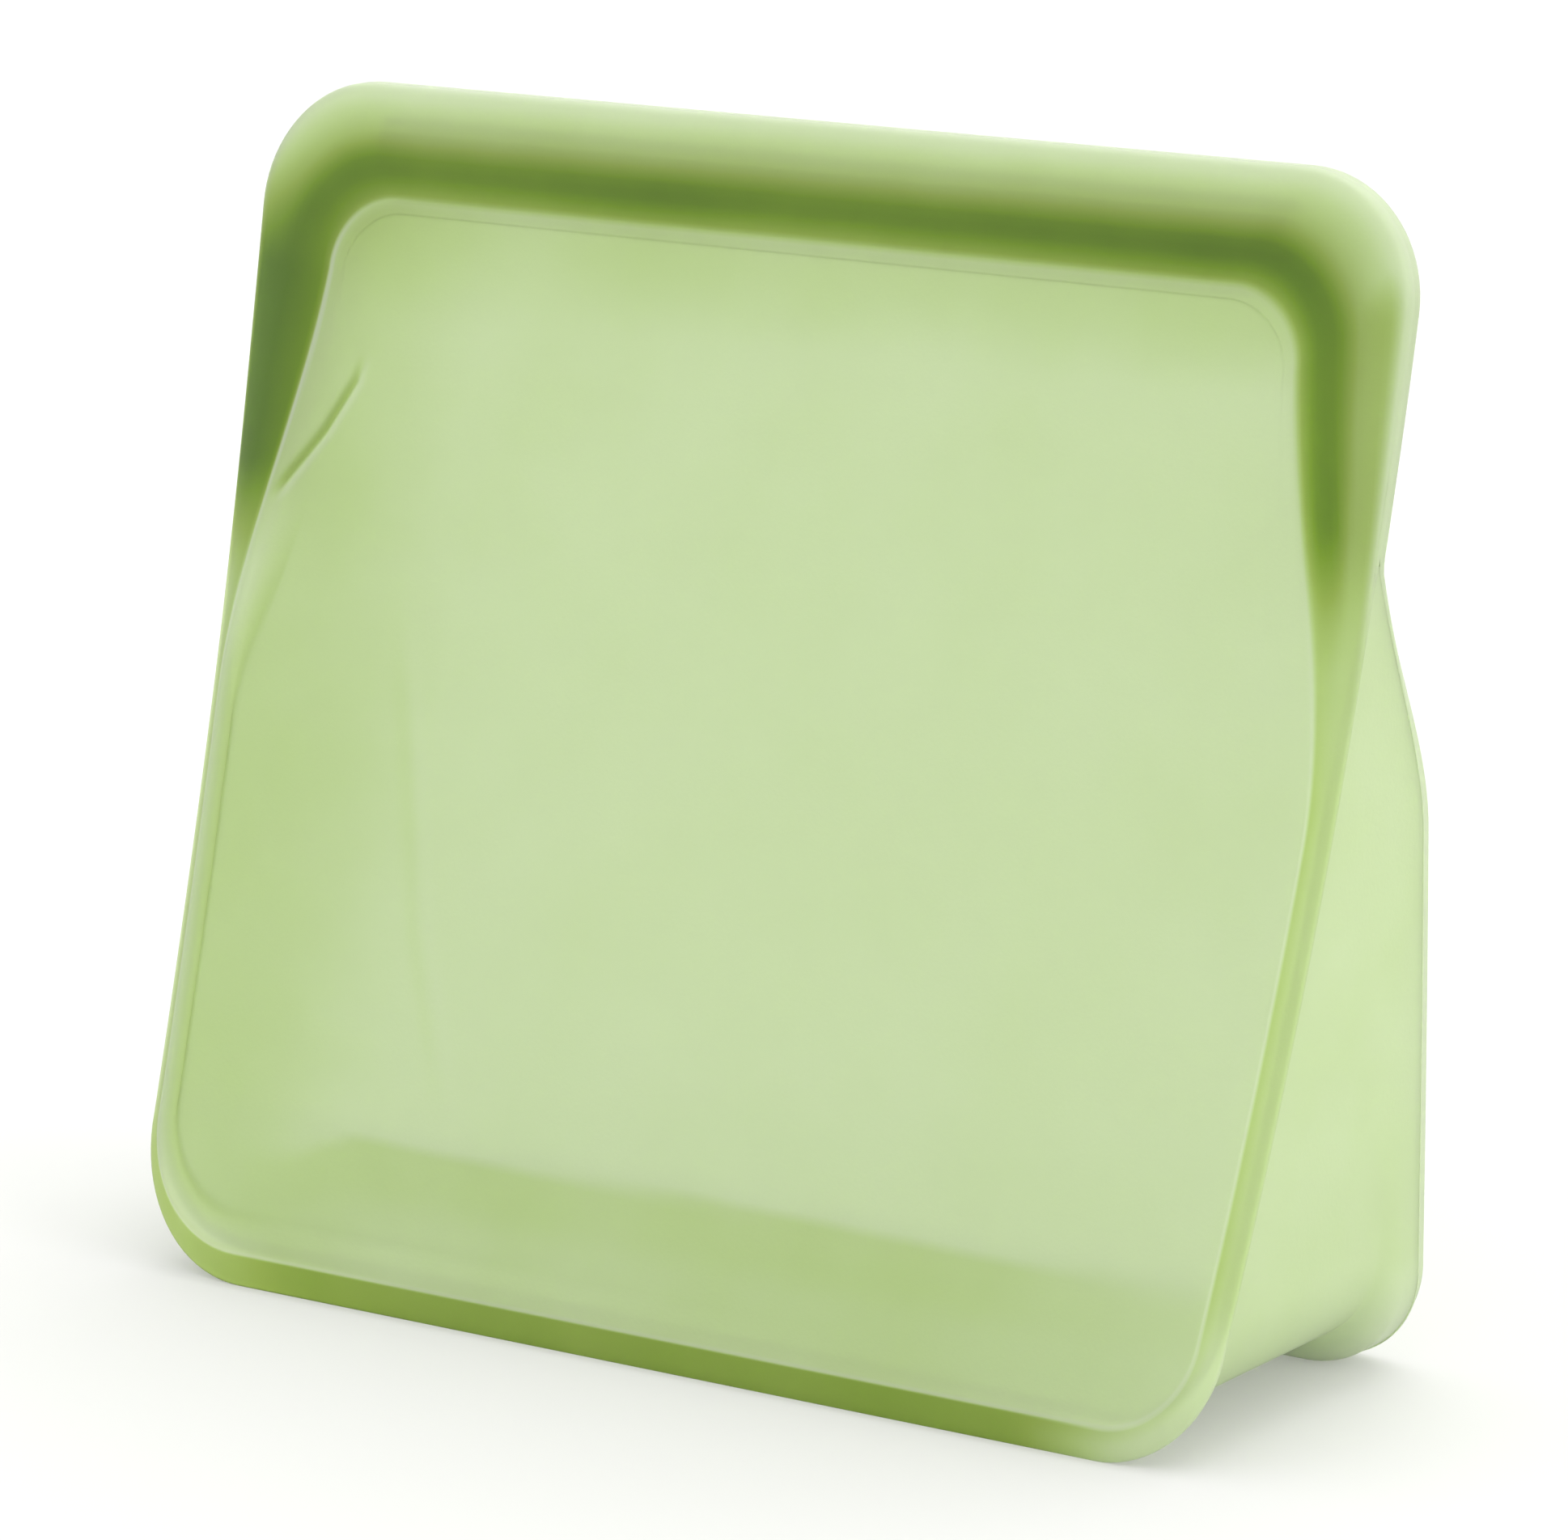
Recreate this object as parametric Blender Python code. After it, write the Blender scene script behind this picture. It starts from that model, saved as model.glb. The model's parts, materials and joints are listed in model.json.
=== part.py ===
"""Stand-up silicone food bag with a pinch-seal mouth.

One translucent silicone body: a tray-like front panel and a tray-like back panel that lean
together, side gussets and a base web between them, and a thick header with a press-together
seal. The header and the walls under it bow apart to open the mouth, so that part of each
panel is cut into a middle flap and two shoulder flaps, which turn about a line across the bag.

Units are metres, +Z is up, the front faces -Y, and the origin is under the middle of the feet.
"""
import math

import bmesh
import bpy
from mathutils import Matrix, Vector

# Overall size
HEIGHT = 0.188              # floor to the top of the header
DEPTH = 0.0723              # front of the front rim to back of the back rim, at the floor
FOOT_HALF_WIDTH = 0.0996    # half of the width at the floor
SIDE_FLARE, SIDE_CURVE = 0.062, 0.150   # growth of the half-width with height, and how fast it eases
WALL = 0.0018               # thickness of walls, gussets and web
GAP = 0.0003                # between neighbouring pieces
CUT = 0.0008                # between pieces that move past each other, and round the panels

# Front and back rims: the edge of each panel is turned back like a tray's
RIM_DEPTH = 0.0038          # how far each panel stands proud of its side seam
SEAM_EDGE = 0.40            # share of that depth that is the seam's own flat edge, the sole
RIM_FLARE = 0.0031          # how much wider the seam is than the front ridge
BACK_FLARE = 0.0008         # the same at the back, whose edge is turned back more squarely
RIM_LIP = 0.0022            # width of the rim's flat face inside the ridge
SOLE_DROP = 0.0049          # height of the ridge above the sole at the bottom
CORNER_RADIUS = 0.023       # bottom corners, at the seam
RIDGE_RADIUS = 0.020        # bottom corners, at the ridge
WEB_HEIGHT = 0.0055         # underside of the base web above the floor
GUSSET_INSET = 0.0010       # gusset's outer face inside the seam
GUSSET_TOP = 0.0070         # how far below the joined seam the gusset ends

FRONT_LEAN, FRONT_CURVE = 0.371, 0.564   # slope of the front at the floor, and how fast it eases
BACK_LEAN, BACK_CURVE = 0.125, 0.10     # the same for the back
PULL_START, PULL_POWER = 0.088, 1.8     # where the back's sides start to draw in to the seams
BACK_CROWN = 4                          # how flat the back stays across its middle

# Header: thick band across the top and down both sides
HEADER_BOTTOM = 0.1705
SIDE_BAND = 0.0140          # extra width of the band at each side of the header
BAND_START = 0.090          # height at which the side band starts to widen
TOP_CORNER_RADIUS = 0.020
LIP_THICKNESS = 0.0046      # each lip at the seal
LIP_EDGE = 0.0022           # each lip at its top edge
LIP_TAPER = 0.70            # share of the header's height at which the lips start to thin
SEAM_HEIGHT = 0.1310        # where the two panels join at the sides
EDGE_THINNING = 0.0022      # how much the header's ends thin towards their outer edge, each side

# Press-together seal: distances to the back are from the plane where the lips meet
SEAL_HEIGHT = 0.1780        # middle of the seal
RIDGE_BASE = 0.0044         # ridge's width at its root
RIDGE_TIP = 0.0024          # ridge's width at its tip
RIDGE_SPAN = (-0.0007, 0.0013)
RAIL_INNER = 0.0027         # half-width of the groove
RAIL_OUTER = 0.0047         # outer edges of the two rails
RAIL_SPAN = (-0.0004, 0.0019)
LIP_GAP = 0.0002            # from the lips' meeting faces to the plane between them
FRONT_RECESS = 0.0010       # front lip's inner face behind the ridge
BACK_RECESS = 0.0023        # back lip's inner face behind the rails

# Mouth: middle and shoulder flaps
HINGE_HEIGHT = 0.100        # line about which both lips bow out
FLAP_EDGE = 0.0545          # half-width of the middle flaps
SEGMENT_GAP = 0.0005

# Number of faces along the curved edges
ARC_STEPS = 6
SIDE_STEPS = 9

COLOURS = {
    "wall": (0.62, 0.74, 0.42, 0.40),
    "rim": (0.40, 0.52, 0.17, 0.45),
    "gusset": (0.64, 0.76, 0.44, 0.42),
    "header": (0.26, 0.38, 0.08, 0.42),
    "seal": (0.20, 0.31, 0.05, 0.45),
}


# ---------------------------------------------------------------- shape of the bag

def mix(a, b, t):
    return a + (b - a) * t


def smooth(low, high, value):
    """0 below low, 1 above high, and a smooth step between."""
    t = min(max((value - low) / (high - low), 0.0), 1.0)
    return t * t * (3.0 - 2.0 * t)


def lean(z, slope, curve):
    """How far a panel has leaned in at height z, from the height of its ridge at the foot."""
    return slope * (z - SOLE_DROP) - curve * (z * z - SOLE_DROP * SOLE_DROP)


def seam_y(z):
    """Back of the front rim, and higher up the plane where the front and back lips meet."""
    return -DEPTH / 2 + RIM_DEPTH + lean(z, FRONT_LEAN, FRONT_CURVE)


def seam_half_width(z):
    return FOOT_HALF_WIDTH + SIDE_FLARE * z - SIDE_CURVE * z * z


def ridge_half_width(z):
    return seam_half_width(z) - RIM_FLARE - SIDE_BAND * smooth(BAND_START, HEADER_BOTTOM, z)


def back_ridge_half_width(z):
    return seam_half_width(z) - BACK_FLARE


def window_half_width(z):
    return ridge_half_width(z) - RIM_LIP


def front_y(x, z):
    """Outer face of the front panel."""
    return seam_y(z) - RIM_DEPTH


def back_y(x, z):
    """Outer face of the back panel: straight in the middle, drawn to the side seams near the top."""
    middle = DEPTH / 2 - lean(z, BACK_LEAN, BACK_CURVE)
    pull = min(max((z - PULL_START) / (SEAM_HEIGHT - PULL_START), 0.0), 1.0) ** PULL_POWER
    edge = mix(middle, seam_y(z) + RIM_DEPTH, pull)
    across = min(abs(x) / seam_half_width(z), 1.0) ** BACK_CROWN
    return mix(middle, edge, across)


def u_path(half_width, bottom, radius, top):
    """Points (x, z) of a U with round corners, from its left end round to its right end."""
    centre_z = bottom + radius
    centre_x = half_width(centre_z) - radius
    right = [(centre_x * t, bottom) for t in (0.0, 0.5)]
    for step in range(ARC_STEPS + 1):
        angle = math.radians(90.0 * step / ARC_STEPS)
        right.append((centre_x + radius * math.sin(angle), centre_z - radius * math.cos(angle)))
    for step in range(1, SIDE_STEPS + 1):
        z = mix(centre_z, top, step / SIDE_STEPS)
        right.append((half_width(z), z))
    left = [(-x, z) for x, z in reversed(right[1:])]
    return left + right


def width_in_u(half_width, bottom, radius, z):
    """Half-width at height z of the U that u_path draws."""
    centre_z = bottom + radius
    if z >= centre_z:
        return half_width(z)
    centre_x = half_width(centre_z) - radius
    return centre_x + math.sqrt(max(radius ** 2 - (centre_z - z) ** 2, 0.0))


# ---------------------------------------------------------------- building blocks

def clear_scene():
    for thing in list(bpy.data.objects):
        bpy.data.objects.remove(thing, do_unlink=True)


def make_collection(name):
    collection = bpy.data.collections.new(name)
    bpy.context.scene.collection.children.link(collection)
    return collection


def make_material(name, kind):
    red, green, blue, roughness = COLOURS[kind]
    material = bpy.data.materials.new(name)
    material.use_nodes = True
    shader = material.node_tree.nodes["Principled BSDF"]
    shader.inputs["Base Color"].default_value = (red, green, blue, 1.0)
    shader.inputs["Roughness"].default_value = roughness
    shader.inputs["Metallic"].default_value = 0.0
    material.diffuse_color = (red, green, blue, 1.0)
    return material


def add_object(name, data, kind, parent=None):
    thing = bpy.data.objects.new(name, data)
    PARTS.objects.link(thing)
    data.materials.append(make_material(name, kind))
    if parent is not None:
        thing.parent = parent
        thing.matrix_parent_inverse = Matrix.Translation(-parent.location)
    return thing


def add_block(name, place, columns, rows, kind, parent=None, layers=1):
    """A grid drawn out into one or more layers, with every point set by place(u, v, layer)."""
    mesh = bpy.data.meshes.new(name)
    work = bmesh.new()
    bmesh.ops.create_grid(work, x_segments=columns, y_segments=rows, size=0.5)
    faces, layer_of = list(work.faces), {}
    for layer in range(1, layers + 1):
        drawn = bmesh.ops.extrude_face_region(work, geom=faces, use_keep_orig=layer == 1)["geom"]
        if layer > 1:
            bmesh.ops.delete(work, geom=faces, context="FACES_ONLY")
        faces = [item for item in drawn if isinstance(item, bmesh.types.BMFace)]
        layer_of.update({item: layer for item in drawn if isinstance(item, bmesh.types.BMVert)})
    for vert in work.verts:
        u, v = vert.co.x + 0.5, vert.co.y + 0.5
        vert.co = Vector(place(u, v, layer_of.get(vert, 0)))
    bmesh.ops.recalc_face_normals(work, faces=work.faces)
    work.to_mesh(mesh)
    work.free()
    return add_object(name, mesh, kind, parent)


def add_rail(name, outline, low_x, high_x, kind, parent=None):
    """An outline in the YZ plane drawn out along X."""
    curve = bpy.data.curves.new(name, "CURVE")
    curve.dimensions = "2D"
    curve.fill_mode = "BOTH"
    curve.extrude = (high_x - low_x) / 2
    spline = curve.splines.new("POLY")
    spline.points.add(len(outline) - 1)
    for point, (y, z) in zip(spline.points, outline):
        point.co = (y, z, 0.0, 1.0)
    spline.use_cyclic_u = True
    thing = add_object(name, curve, kind, parent)
    thing.location = ((low_x + high_x) / 2, 0.0, 0.0)
    thing.rotation_euler = (math.radians(90), 0.0, math.radians(90))
    return thing


def add_axis(name, y, z):
    axis = bpy.data.objects.new(name, None)
    axis.empty_display_size = 0.02
    axis.location = (0.0, y, z)
    PARTS.objects.link(axis)
    return axis


# ---------------------------------------------------------------- fixed body

def add_rim(name, face, inward, ridge_width):
    """U-shaped tray edge; inward is +1 for the front rim and -1 for the back rim."""
    seam = u_path(seam_half_width, 0.0, CORNER_RADIUS, SEAM_HEIGHT)
    ridge = u_path(ridge_width, SOLE_DROP, RIDGE_RADIUS, SEAM_HEIGHT)
    inner = u_path(window_half_width, SOLE_DROP + RIM_LIP, RIDGE_RADIUS - RIM_LIP, SEAM_HEIGHT)
    columns = len(seam) - 1
    depths = (0.0, RIM_DEPTH * (1.0 - SEAM_EDGE), RIM_DEPTH - GAP / 2)

    def place(u, v, layer):
        step = round(u * columns)
        outer = (ridge, seam, seam)[layer][step]
        x, z = (mix(a, b, v) for a, b in zip(outer, inner[step]))
        return x, face(x, z) + inward * depths[layer], z

    add_block(name, place, columns, 1, "rim", layers=2)


def add_lower_wall(name, face, inward):
    """Panel inside a rim, up to the line about which the lip bows."""
    bottom = SOLE_DROP + RIM_LIP
    low, high = bottom + CUT, HINGE_HEIGHT - CUT / 2

    def place(u, v, layer):
        z = mix(low, high, v ** 1.6)
        width = width_in_u(window_half_width, bottom, RIDGE_RADIUS - RIM_LIP, z) - CUT
        x = (2 * u - 1) * width
        return x, face(x, z) + inward * WALL * layer, z

    add_block(name, place, 8, 10, "wall")


def web_path(inset):
    """U-shaped line of the gussets and the base web, inset from their outer face."""
    def half_width(z):
        return seam_half_width(z) - GUSSET_INSET - inset
    radius = CORNER_RADIUS - GUSSET_INSET - inset
    return u_path(half_width, WEB_HEIGHT + inset, radius, SEAM_HEIGHT - GUSSET_TOP)


def between_rims(x, z, share):
    """A place from the back of the front rim, at share 0, to the front of the back rim, at 1."""
    return mix(seam_y(z) + GAP, back_y(x, z) - RIM_DEPTH - GAP, share)


def add_gusset(name, side):
    """Side wall between the rims, with the round bottom corner that runs into the base web."""
    rows = ARC_STEPS + SIDE_STEPS
    paths = [web_path(inset)[-1 - rows:] for inset in (0.0, WALL)]

    def place(u, v, layer):
        x, z = paths[layer][round(v * rows)]
        x += GAP * (1 - smooth(0.0, 1.0 / rows, v))
        return side * x, between_rims(x, z, u), z

    add_block(name, place, 3, rows, "gusset")


def add_base_web():
    """Floor of the bag, held a little above what the bag stands on."""
    half = web_path(0.0)[-1 - ARC_STEPS - SIDE_STEPS][0]

    def place(u, v, layer):
        x, z = (2 * u - 1) * half, WEB_HEIGHT + WALL * layer
        return x, between_rims(x, z, v), z

    add_block("base_web", place, 6, 3, "gusset")


def add_side_seam(name, side):
    """Header's side band and top corner, where the front and back lips are fused."""
    corner_z = HEIGHT - TOP_CORNER_RADIUS
    corner_x = seam_half_width(corner_z) - TOP_CORNER_RADIUS
    outer, inner = [], []
    for step in range(SIDE_STEPS):
        z = mix(SEAM_HEIGHT + GAP, corner_z - 0.003, step / (SIDE_STEPS - 1))
        outer.append((seam_half_width(z), z))
        inner.append((window_half_width(z), z))
    last_x, last_z = inner[-1]
    for step in range(1, ARC_STEPS + 1):
        angle = math.radians(90.0 * step / ARC_STEPS)
        outer.append((corner_x + TOP_CORNER_RADIUS * math.cos(angle),
                      corner_z + TOP_CORNER_RADIUS * math.sin(angle)))
        turn = step / ARC_STEPS
        inner.append((mix(last_x, corner_x, turn), mix(last_z, HEADER_BOTTOM, turn)))
    columns = len(outer) - 1

    def place(u, v, layer):
        step = round(u * columns)
        x, z = (mix(a, b, v) for a, b in zip(outer[step], inner[step]))
        thick = RIM_DEPTH - EDGE_THINNING * (1.0 - smooth(0.0, 0.3, v))
        if layer == 0:
            return side * x, seam_y(z) - thick, z
        return side * x, max(seam_y(z) + thick, back_y(x, z)), z

    add_block(name, place, columns, 2, "header")


# ---------------------------------------------------------------- mouth

def segment_span(segment, z):
    """Low and high x of a flap at height z: -1 left shoulder, 0 middle, 1 right shoulder."""
    if segment == 0:
        return -FLAP_EDGE, FLAP_EDGE
    near, far = FLAP_EDGE + SEGMENT_GAP, window_half_width(z) - CUT
    return (near, far) if segment > 0 else (-far, -near)


def add_upper_wall(name, face, inward, segment, axis):
    low, high = HINGE_HEIGHT + CUT / 2, HEADER_BOTTOM - GAP

    def place(u, v, layer):
        z = mix(low, high, v)
        x = mix(*segment_span(segment, z), u)
        return x, face(x, z) + inward * WALL * layer, z

    add_block(name, place, 4, 6, "wall", axis)


def add_lip(name, outward, segment, axis, recess):
    """Thick header band with a shallow recess along its inner face for the seal."""
    low_x, high_x = segment_span(segment, HEADER_BOTTOM)

    def place(u, v, layer):
        z = mix(HEADER_BOTTOM, HEIGHT, v)
        if layer == 0:
            taper = smooth(LIP_TAPER, 1.0, v)
            swell = (LIP_THICKNESS - RIM_DEPTH) * smooth(0.0, 0.25, v) * (1.0 - taper)
            offset = mix(RIM_DEPTH, LIP_EDGE, taper) + swell
        else:
            hollow = smooth(0.0, 0.08, v) * (1.0 - smooth(0.75, 0.83, v))
            offset = mix(LIP_GAP, recess, hollow)
        return mix(low_x, high_x, u), seam_y(z) + outward * offset, z

    add_block(name, place, 1, 12, "header", axis)


def seal_points(pairs):
    """Points in the YZ plane from (distance to the back, distance up the header) pairs."""
    tilt = math.atan(FRONT_LEAN - 2 * FRONT_CURVE * SEAL_HEIGHT)
    middle = Vector((seam_y(SEAL_HEIGHT), SEAL_HEIGHT))
    across = Vector((math.cos(tilt), -math.sin(tilt)))
    along = Vector((math.sin(tilt), math.cos(tilt)))
    return [tuple(middle + across * back + along * up) for back, up in pairs]


def add_seal_ridge(name, segment, axis):
    root, tip = RIDGE_SPAN
    outline = seal_points([
        (root, -RIDGE_BASE / 2), (tip, -RIDGE_TIP / 2), (tip, RIDGE_TIP / 2), (root, RIDGE_BASE / 2)])
    add_rail(name, outline, *segment_span(segment, HEADER_BOTTOM), "seal", axis)


def add_seal_rail(name, segment, up, axis):
    """One of the two rails that the ridge presses in between."""
    front, back = RAIL_SPAN
    outline = seal_points([
        (front, up * RAIL_INNER), (back, up * RAIL_INNER), (back, up * RAIL_OUTER), (front, up * RAIL_OUTER)])
    add_rail(name, outline, *segment_span(segment, HEADER_BOTTOM), "seal", axis)


def build():
    add_rim("front_rim", front_y, 1, ridge_half_width)
    add_lower_wall("front_wall_lower", front_y, 1)
    add_rim("back_rim", back_y, -1, back_ridge_half_width)
    add_lower_wall("back_wall_lower", back_y, -1)
    add_base_web()
    add_gusset("left_gusset", -1)
    add_gusset("right_gusset", 1)
    add_side_seam("left_header_end", -1)
    add_side_seam("right_header_end", 1)

    front_axis = add_axis("front_bend_line", front_y(0.0, HINGE_HEIGHT) + WALL / 2, HINGE_HEIGHT)
    back_axis = add_axis("back_bend_line", back_y(0.0, HINGE_HEIGHT) - WALL / 2, HINGE_HEIGHT)
    for segment, where in ((0, "middle"), (-1, "left"), (1, "right")):
        add_upper_wall(f"front_flap_{where}", front_y, 1, segment, front_axis)
        add_lip(f"front_lip_{where}", -1, segment, front_axis, FRONT_RECESS)
        add_seal_ridge(f"seal_ridge_{where}", segment, front_axis)
        add_upper_wall(f"back_flap_{where}", back_y, -1, segment, back_axis)
        add_lip(f"back_lip_{where}", 1, segment, back_axis, BACK_RECESS)
        add_seal_rail(f"seal_rail_upper_{where}", segment, 1, back_axis)
        add_seal_rail(f"seal_rail_lower_{where}", segment, -1, back_axis)


clear_scene()
PARTS = make_collection("silicone_stand_up_bag")
build()
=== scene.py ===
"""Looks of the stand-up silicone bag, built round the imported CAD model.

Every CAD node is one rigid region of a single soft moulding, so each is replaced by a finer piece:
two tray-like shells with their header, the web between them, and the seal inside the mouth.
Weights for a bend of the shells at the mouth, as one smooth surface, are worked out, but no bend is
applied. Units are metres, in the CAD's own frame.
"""
import json
import math

import bmesh
import bpy
import numpy as np
from mathutils import Matrix, Vector


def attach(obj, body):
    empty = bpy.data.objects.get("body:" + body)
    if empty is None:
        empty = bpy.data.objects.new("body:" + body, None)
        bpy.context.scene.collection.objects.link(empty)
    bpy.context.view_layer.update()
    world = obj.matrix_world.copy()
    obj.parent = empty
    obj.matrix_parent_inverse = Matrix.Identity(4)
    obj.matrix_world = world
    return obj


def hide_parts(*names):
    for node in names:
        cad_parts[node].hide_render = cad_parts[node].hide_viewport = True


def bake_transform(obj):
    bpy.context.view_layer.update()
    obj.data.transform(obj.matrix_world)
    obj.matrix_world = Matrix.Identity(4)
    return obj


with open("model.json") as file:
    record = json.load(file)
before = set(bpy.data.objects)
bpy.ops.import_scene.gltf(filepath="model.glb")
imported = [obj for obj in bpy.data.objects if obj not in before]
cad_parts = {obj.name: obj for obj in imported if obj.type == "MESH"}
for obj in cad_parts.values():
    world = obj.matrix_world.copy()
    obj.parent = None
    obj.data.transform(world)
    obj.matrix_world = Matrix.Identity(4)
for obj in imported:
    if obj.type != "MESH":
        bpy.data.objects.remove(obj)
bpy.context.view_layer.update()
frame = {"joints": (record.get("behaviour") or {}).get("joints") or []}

# ---------------------------------------------------------------- sizes, the same as the CAD's

HEIGHT = 0.188
DEPTH = 0.0723
FOOT_HALF_WIDTH = 0.0996
SIDE_FLARE, SIDE_CURVE = 0.062, 0.150
RIM_DEPTH = 0.0038
RIM_FLARE = 0.0031
SOLE_DROP = 0.0049
WEB_HEIGHT = 0.0055
GUSSET_INSET = 0.0010
FRONT_LEAN, FRONT_CURVE = 0.371, 0.564
BACK_LEAN, BACK_CURVE = 0.125, 0.10
PULL_START, PULL_POWER = 0.088, 1.8     # how the back is drawn to the front below the pinch
BACK_CROWN = 4                          # power of the back panel's curve from side to side
HEADER_BOTTOM = 0.1705
SIDE_BAND = 0.0140
BAND_START = 0.090
TOP_CORNER_RADIUS = 0.020
SEAM_HEIGHT = 0.1310        # the pinch, where the back rim reaches the front's
SEAL_HEIGHT = 0.1780
HINGE_HEIGHT = 0.100
FLAP_EDGE = 0.0545          # from the middle to the end of the seal's middle segment
SEAL_END = 0.0835

# Sizes of the visible surface only
OUTER_RADII = {"front": (0.0235, 0.0180), "back": (0.0200, 0.0170)}    # lower corners: left, right
WINDOW_RADII = {"front": (0.0200, 0.0145), "back": (0.0170, 0.0140)}
WINDOW_RADIUS = 0.012       # top corners of the front and back windows
WINDOW_RISE = 0.0006        # lower edge of the window above the step in the CAD's rim
WINDOW_FACE = (0.0038, 0.0035)          # windows' height above the seam plane: low down, top
OUTER_FACE = 0.0030         # points of the front shell further out than this are on its outer face
WINDOW_WALL = 0.0014        # thickness of the panels
BASE_WALL = 0.0026          # thickness of the panels' lower band
BASE_BAND = 0.0262          # top of that band
BASE_STEP = 0.0016          # half of the height over which one thickness turns into the other
SEAM_GAP = 0.15             # in mm: from the inside of each shell to the seam plane
FUSED_LAP = 0.20            # in mm: how far each shell passes the seam plane at the header's ends
INSIDE_SHARES = (0.12, 0.20, 0.35, 0.55, 0.75, 0.90, 1.0)   # rings across the inside of the rim
WEB_WALL = 0.0014
WEB_SKIN = 0.0001           # from the shells' outline in to the web's outer face
WEB_FLOOR = 0.0002          # from the floor up to the web where it folds down at the back foot
WEB_BITE = 0.0003           # how far the web's front and back edges enter the shells
WEB_TOP = SEAM_HEIGHT + 0.012
WEB_CORNER = 0.010
WEB_FOLD = (0.80, 0.92)     # shares of the depth between which the web folds down to the floor
INSET_END = SEAM_HEIGHT - 0.035         # the gusset's inset fades from here up to the pinch

# Number of faces: each outline has 2 * (ACROSS + UP) points
ACROSS = 96
UP = 88
CORNER = 10                 # faces in half of a round corner
SEAL_COLUMNS = {0: 48, 1: 16, -1: 16}   # along the seal's middle, right and left segments
SHARP_ANGLE = 50            # edges that turn by more degrees are shaded sharp
FINE = 3                    # rings from one profile point to the next


# ---------------------------------------------------------------- shape of the bag

def mix(a, b, t):
    return a + (b - a) * t


def smooth(low, high, value):
    """Eases from 0 at low to 1 at high, and the other way round where low is above high."""
    t = np.clip((value - low) / (high - low), 0.0, 1.0)
    return t * t * (3.0 - 2.0 * t)


def lean(z, slope, curve):
    """How far a panel that leans inwards has moved at a height, from none at the sole's step."""
    return slope * (z - SOLE_DROP) - curve * (z * z - SOLE_DROP * SOLE_DROP)


def seam_y(z):
    """Back of the front rim, and higher up the plane where the front and back lips meet."""
    return -DEPTH / 2 + RIM_DEPTH + lean(z, FRONT_LEAN, FRONT_CURVE)


def seam_half_width(z):
    return FOOT_HALF_WIDTH + SIDE_FLARE * z - SIDE_CURVE * z * z


def ridge_half_width(z):
    return seam_half_width(z) - RIM_FLARE - SIDE_BAND * smooth(BAND_START, HEADER_BOTTOM, z)


def back_seam_y(x, z):
    """Front of the back rim: it joins the front's seam plane at the sides and in the header."""
    middle = DEPTH / 2 - lean(z, BACK_LEAN, BACK_CURVE) - RIM_DEPTH
    pull = np.clip((z - PULL_START) / (SEAM_HEIGHT - PULL_START), 0.0, 1.0) ** PULL_POWER
    across = np.minimum(np.abs(x) / seam_half_width(z), 1.0) ** BACK_CROWN
    panel = mix(middle, mix(middle, seam_y(z), pull), across)
    return mix(panel, seam_y(z), smooth(HEADER_BOTTOM - 0.028, HEADER_BOTTOM + 0.002, z))


def half_outline(width, bottom, top, low_radius, high_radius):
    """Right half of a closed outline (x, z) with round corners, from its bottom to its top middle."""
    flat = ACROSS // 2 - CORNER
    low_z, high_z = bottom + low_radius, top - high_radius
    low_x, high_x = width(low_z) - low_radius, width(high_z) - high_radius
    turn = np.linspace(0.0, math.pi / 2, 2 * CORNER + 1)
    side = np.linspace(low_z, high_z, UP - 2 * CORNER + 1)[1:-1]
    x = np.concatenate([np.linspace(0.0, low_x, flat + 1)[:-1], low_x + low_radius * np.sin(turn),
                        width(side), high_x + high_radius * np.cos(turn),
                        np.linspace(high_x, 0.0, flat + 1)[1:]])
    z = np.concatenate([np.full(flat, bottom), low_z - low_radius * np.cos(turn), side,
                        high_z + high_radius * np.sin(turn), np.full(flat, top)])
    return np.stack([x, z], axis=1)


def outline(width, bottom, top, low_radii, high_radius):
    """Closed outline from the middle of its bottom round by the right; low_radii is (left, right)."""
    left, right = (half_outline(width, bottom, top, radius, high_radius) for radius in low_radii)
    return np.vstack([right, left[-2:0:-1] * [-1, 1]])


# ---------------------------------------------------------------- mesh building

def through(points):
    """A smooth curve through the control points, with FINE steps between each two."""
    points = np.array(points, float)
    padded = np.vstack([2 * points[0] - points[1], points, 2 * points[-1] - points[-2]])
    made = []
    for i in range(1, len(padded) - 2):
        a, b, c, d = padded[i - 1:i + 3]
        for t in np.arange(FINE) / FINE:
            made.append(0.5 * (2 * b + (c - a) * t + (2 * a - 5 * b + 4 * c - d) * t * t
                               + (3 * b - a - 3 * c + d) * t ** 3))
    return np.array(made + [points[-1]])


def border(j, i):
    """Place in an outline of the point at row j, column i on the edge of a filling grid."""
    bottom_left, top_left = 2 * UP + 3 * ACROSS // 2, UP + 3 * ACROSS // 2
    if j == 0:
        return (bottom_left + i) % (2 * (ACROSS + UP))
    if i == ACROSS:
        return ACROSS // 2 + j
    return top_left - i if j == UP else bottom_left - j


def filling(loop):
    """Inner points of a grid stretched over a closed outline, as rows of (x, z)."""
    edge = {(j, i): loop[border(j, i)] for j in range(UP + 1) for i in range(ACROSS + 1)
            if j in (0, UP) or i in (0, ACROSS)}
    points = []
    for j in range(1, UP):
        v = j / UP
        for i in range(1, ACROSS):
            u = i / ACROSS
            corners = (mix(edge[0, 0], edge[0, ACROSS], u) * (1 - v)
                       + mix(edge[UP, 0], edge[UP, ACROSS], u) * v)
            points.append(mix(edge[0, i], edge[UP, i], v) + mix(edge[j, 0], edge[j, ACROSS], u)
                          - corners)
    return np.array(points)


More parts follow.
